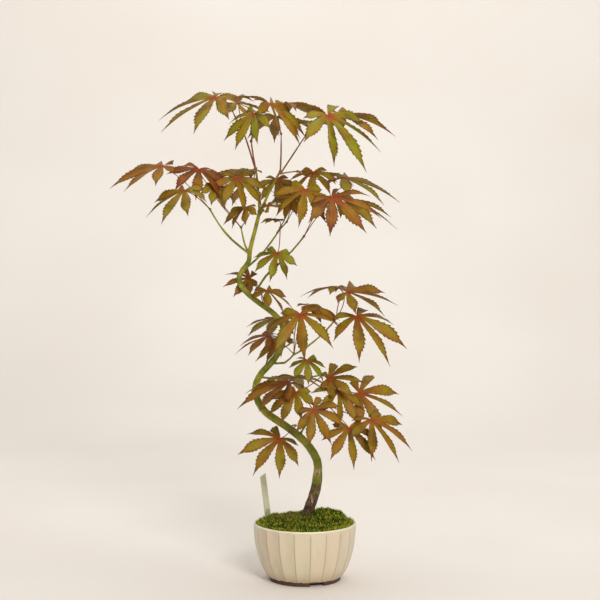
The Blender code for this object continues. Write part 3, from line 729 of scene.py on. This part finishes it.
def growTrunk(joints):
    trunk = copyNode("mapleTrunk", "trunk")
    knots = []
    for place in joints:
        knot = startPiece("knot", bpy.ops.mesh.primitive_ico_sphere_add, subdivisions=2,
                          radius=trunkShape["joint"], location=place)
        settle(knot)
        knots.append(knot)
    takeUp(*knots, trunk)
    bpy.ops.object.join()
    addStep(trunk, "REMESH", mode="VOXEL", voxel_size=trunkShape["voxel"], adaptivity=0)
    addStep(trunk, "SMOOTH", factor=0.5, iterations=trunkShape["smoothing"])
    applySteps(trunk)
    shape = bmesh.new()
    shape.from_mesh(trunk.data)
    shape.normal_update()
    for point in shape.verts:
        place = point.co
        old = max(0.15, min(1.0, (trunkShape["oldTop"] - place.z) / trunkShape["oldFade"]))
        ridge = noise.fractal(Vector((place.x * 260, place.y * 260, place.z * 90)), 0.9, 2.0, 4)
        lump = noise.noise(place * 75) * 1.4
        place += point.normal * (trunkShape["relief"] * (old * ridge + lump * (0.3 + old)) + 0.0001)
    shape.to_mesh(trunk.data)
    shape.free()
    takeUp(trunk)
    bpy.ops.object.shade_smooth()
    trunk.data.materials.append(barkFinish())
    finishPiece(trunk, "bark", "trunk")


# ---- moss: a lumpy mat set with small star-shaped tufts

mossShape = {
    "tufts": 3200, "spikes": 7, "length": 0.0032, "root": 0.00052, "tilt": 56, "lump": 0.0031,
    "spread": 0.0533, "lip": 0.0621, "lift": 0.0014, "inset": 0.0052,
    # swellings: place from the pot's axis, width and height
    "humps": ((0.0415, 0.006, 0.0105, 0.0055), (0.002, -0.005, 0.008, 0.0026),
              (-0.036, 0.014, 0.008, 0.004)),
}


def makeTuft():
    spikes = []
    for number in range(mossShape["spikes"]):
        turn = 2 * math.pi * number / (mossShape["spikes"] - 1)
        tilt = math.radians(mossShape["tilt"]) if number else 0
        way = Vector((math.sin(tilt) * math.cos(turn), math.sin(tilt) * math.sin(turn), math.cos(tilt)))
        length = mossShape["length"] * (1 if number else 1.25)
        spikes.append(startPiece("spike", bpy.ops.mesh.primitive_cone_add, vertices=3,
                                 radius1=mossShape["root"], radius2=0, depth=length,
                                 end_fill_type="NOTHING", location=way * length * 0.5,
                                 rotation=way.to_track_quat("Z", "Y").to_euler()))
        settle(spikes[-1])
    takeUp(*spikes)
    bpy.ops.object.join()
    return bpy.context.object


def lumpyMat():
    mat = copyNode("mossMat", "moss")
    addStep(mat, "SUBSURF", subdivision_type="SIMPLE", levels=2, render_levels=2)
    applySteps(mat)
    shape = bmesh.new()
    shape.from_mesh(mat.data)
    shape.normal_update()
    edge = potShape["rim"] * mm - mossShape["inset"]
    for point in shape.verts:
        place = point.co
        if point.normal.z < 0.2:
            continue
        lump = noise.noise(place * 130) * 0.7 + noise.noise(place * 330) * 0.55
        x, y, _ = place - potAxis
        out = math.hypot(x, y) / edge
        place.z += lump * mossShape["lump"] * (1 - 0.6 * out ** 6)
        for humpX, humpY, width, rise in mossShape["humps"]:
            near = math.exp(-((x - humpX) ** 2 + (y - humpY) ** 2) / (2 * width ** 2))
            place.z += rise * near * max(0, 1 - out ** 8)
    shape.to_mesh(mat.data)
    shape.free()
    return mat


def layMoss():
    mat = lumpyMat()
    tuft = makeTuft()
    points = np.array([v.co for v in tuft.data.vertices])
    faces = np.array([tuple(p.vertices) for p in tuft.data.polygons])
    bpy.data.objects.remove(tuft)
    ground = bvhtree.BVHTree.FromObject(mat, bpy.context.evaluated_depsgraph_get())
    edge = mossShape["spread"]
    allPoints, allFaces, marks = [], [], []
    height = np.clip(points[:, 2] / points[:, 2].max(), 0, 1)
    while len(allPoints) < mossShape["tufts"]:
        turn, out = chance.uniform(0, 2 * math.pi), math.sqrt(chance.random()) * edge
        above = potAxis + Vector((out * math.cos(turn), out * math.sin(turn), 0.12))
        place, normal, _, _ = ground.ray_cast(above, Vector((0, 0, -1)))
        if place is None or place.z < mossShape["lip"] - 0.003:
            place, normal = Vector((above.x, above.y, mossShape["lip"])), Vector((0, 0, 1))
        lean = (normal + Vector((chance.uniform(-1, 1), chance.uniform(-1, 1), 0)) * 0.35
                + Vector((math.cos(turn), math.sin(turn), 0)) * 0.35 * (out / edge) ** 3)
        stand = lean.to_track_quat("Z", "Y").to_matrix() @ Matrix.Rotation(chance.uniform(0, 6.3), 3, "Z")
        size = chance.uniform(0.6, 1.15)
        place.z += chance.uniform(-1, 1) * mossShape["lift"] * (1 - (out / edge) ** 4)
        spread = points @ (np.array(stand).T * size) + np.array(place)
        allFaces.append(faces + len(points) * len(allPoints))
        allPoints.append(spread)
        marks.append(np.stack([np.full(len(points), chance.random()), height], 1))
    moss = meshPiece("mossTufts", np.concatenate(allPoints).tolist(), np.concatenate(allFaces).tolist())
    markTufts(moss, np.concatenate(marks))
    # the mat between the tufts takes the dark base colour, partly painted shade
    markTufts(mat, np.full((len(mat.data.vertices), 2), (0.2, 0.12)))
    takeUp(moss, mat)
    bpy.ops.object.join()
    bpy.ops.object.shade_smooth()
    mat.name = "mossCushion"
    mat.data.materials.clear()
    mat.data.materials.append(mossFinish())
    finishPiece(mat, "moss", "moss")


def markTufts(piece, marks):
    # which tuft, and how near its tip, as a UV map
    while piece.data.uv_layers:
        piece.data.uv_layers.remove(piece.data.uv_layers[0])
    chart = piece.data.uv_layers.new(name="tuft")
    order = np.empty(len(piece.data.loops), np.int32)
    piece.data.loops.foreach_get("vertex_index", order)
    chart.data.foreach_set("uv", marks[order].astype(np.float32).ravel())


# ---- label, and the pieces that keep their CAD shape

labelShape = {"round": 0.0003}


def makeLabel():
    label = copyNode("plantLabel", "plant_label")
    editPiece(label)
    bpy.ops.mesh.select_all(action="SELECT")
    bpy.ops.mesh.dissolve_limited(angle_limit=math.radians(2))
    bpy.ops.object.mode_set(mode="OBJECT")
    addStep(label, "BEVEL", width=labelShape["round"], segments=3, limit_method="ANGLE")
    applySteps(label)
    smoothBelow(label, 40)
    label.data.materials.append(labelFinish())
    finishPiece(label, "label_plastic", "plant_label")


def dressNodes():
    finishes = {"soil": soilFinish, "drain_screen": screenFinish, "screen_wire": wireFinish}
    for nodeName, finish in finishes.items():
        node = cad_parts[nodeName]
        for place in node.material_slots:
            place.material = finish()


# ---- studio: pale seamless floor and soft light

studio = {
    "floor": paint(241, 235, 228), "shade": paint(235, 227, 218), "sweep": 0.9, "size": 30.0,
    "wallGap": 1.0, "wallHeight": 4.0, "curve": 0.95,
    # name: (place, point it faces, size, power, colour)
    "lights": {
        "key": ((0.75, -2.3, 1.35), (0.02, 0, 0.26), 0.8, 47, (1, 0.99, 0.975)),
        "fill": ((-1.5, -1.5, 0.7), (0.02, 0, 0.26), 1.4, 1, (1, 1, 0.99)),
        "wall": ((0.0, 0.35, 1.9), (0.0, 2.0, 0.4), 2.0, 21.5, (1, 1, 0.99)),
    },
    "sky": (1.0, 0.99, 0.98, 1), "skyPower": 0.33,
}


def buildStudio():
    floor = startPiece("studioFloor", bpy.ops.mesh.primitive_plane_add, size=studio["size"])
    editPiece(floor)
    bpy.ops.transform.translate(value=(0, studio["sweep"] - studio["size"] / 2, 0))
    pickPoints(floor, lambda p: p.y > 0)
    bpy.ops.mesh.extrude_region_move(TRANSFORM_OT_translate={"value": (0, studio["wallGap"], 0)})
    bpy.ops.mesh.extrude_region_move(TRANSFORM_OT_translate={"value": (0, 0, studio["wallHeight"])})
    bpy.ops.object.mode_set(mode="OBJECT")
    addStep(floor, "BEVEL", width=studio["curve"], segments=16, limit_method="ANGLE")
    applySteps(floor)
    takeUp(floor)
    bpy.ops.object.shade_smooth()
    look = Recipe("studioPaper", 0.9)
    look.colour(look.mix(look.between(look.grain(2, 2), 0.2, 0.8), studio["floor"], studio["shade"]))
    floor.data.materials.append(look.material)
    for name, (place, aim, size, power, colour) in studio["lights"].items():
        lamp = bpy.data.lights.new(name, "AREA")
        lamp.size, lamp.energy, lamp.color = size, power, colour
        holder = bpy.data.objects.new(name, lamp)
        holder.location = place
        holder.rotation_euler = (Vector(aim) - Vector(place)).to_track_quat("-Z", "Y").to_euler()
        bpy.context.scene.collection.objects.link(holder)
    sky = bpy.data.worlds.new("studioSky")
    sky.use_nodes = True
    back = sky.node_tree.nodes["Background"]
    back.inputs["Color"].default_value = studio["sky"]
    back.inputs["Strength"].default_value = studio["skyPower"]
    bpy.context.scene.world = sky
    bpy.context.scene.view_settings.view_transform = "Standard"


setCamera()
buildStudio()
print("studio and camera ready")
turnPot()
print("pot turned and fluted")
joints = growLeaves()
print(len(joints), "leaves grown")
growTrunk(joints)
print("trunk grown")
layMoss()
print("moss laid")
makeLabel()
dressNodes()
print("label, soil, screen and wire dressed")
